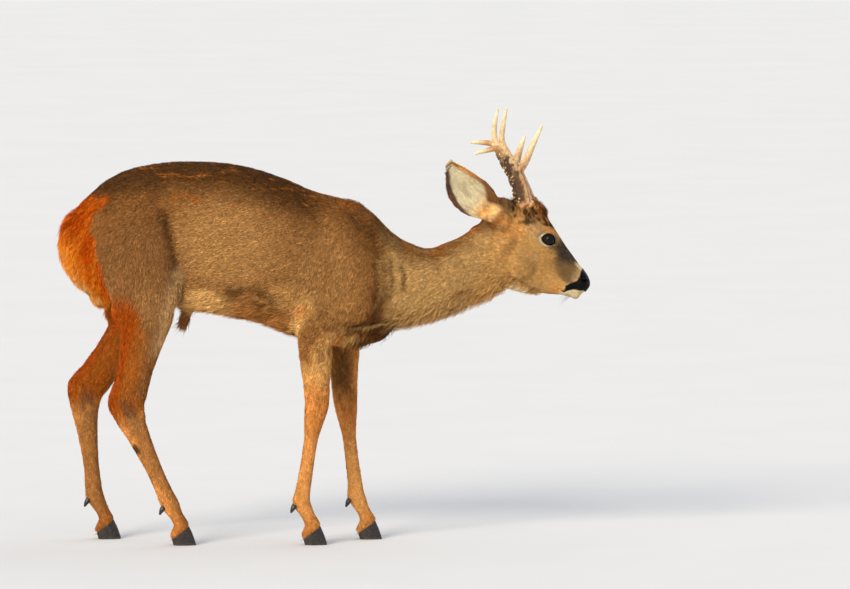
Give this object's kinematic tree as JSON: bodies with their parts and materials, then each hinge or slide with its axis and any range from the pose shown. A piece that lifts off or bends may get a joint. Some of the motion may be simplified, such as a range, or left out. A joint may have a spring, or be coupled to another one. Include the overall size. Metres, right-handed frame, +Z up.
{
  "type": "roe deer",
  "caption": "Life-size still model of a roe deer buck, standing with neck stretched forward and head lowered, with short branched antlers.",
  "frame": {"origin": "middle of the bottom of the whole animal's box, on the floor under its hooves", "axes": "+X the way the deer faces, +Y its left side, +Z up"},
  "size_m": [1.0592, 0.2122, 0.8703],
  "materials": {
    "coat": "short dense grey-brown hair, orange on the rump and withers",
    "leg_coat": "short rusty-orange hair",
    "ear_coat": "cream hair inside, brown outside",
    "antler": "grooved and pearled, pale tines",
    "horn": "dark horn, satin",
    "eye": "wet and glossy"
  },
  "bodies": {
    "root": {"trunk": "coat", "neck": "coat", "head": "coat", "ear_right": "ear_coat", "ear_left": "ear_coat", "eye_right": "eye", "eye_left": "eye", "antler_right_beam": "antler", "antler_right_front": "antler", "antler_right_top": "antler", "antler_right_rear": "antler", "antler_left_beam": "antler", "antler_left_front": "antler", "antler_left_top": "antler", "antler_left_rear": "antler", "foreleg_right_upper": "leg_coat", "foreleg_right_lower": "leg_coat", "foreleg_right_pastern": "leg_coat", "foreleg_right_hoof_right": "horn", "foreleg_right_hoof_left": "horn", "foreleg_right_dewclaw_right": "horn", "foreleg_right_dewclaw_left": "horn", "foreleg_left_upper": "leg_coat", "foreleg_left_lower": "leg_coat", "foreleg_left_pastern": "leg_coat", "foreleg_left_hoof_right": "horn", "foreleg_left_hoof_left": "horn", "foreleg_left_dewclaw_right": "horn", "foreleg_left_dewclaw_left": "horn", "hindleg_right_upper": "leg_coat", "hindleg_right_lower": "leg_coat", "hindleg_right_pastern": "leg_coat", "hindleg_right_hoof_right": "horn", "hindleg_right_hoof_left": "horn", "hindleg_right_dewclaw_right": "horn", "hindleg_right_dewclaw_left": "horn", "hindleg_left_upper": "leg_coat", "hindleg_left_lower": "leg_coat", "hindleg_left_pastern": "leg_coat", "hindleg_left_hoof_right": "horn", "hindleg_left_hoof_left": "horn", "hindleg_left_dewclaw_right": "horn", "hindleg_left_dewclaw_left": "horn"}
  },
  "joints": []
}
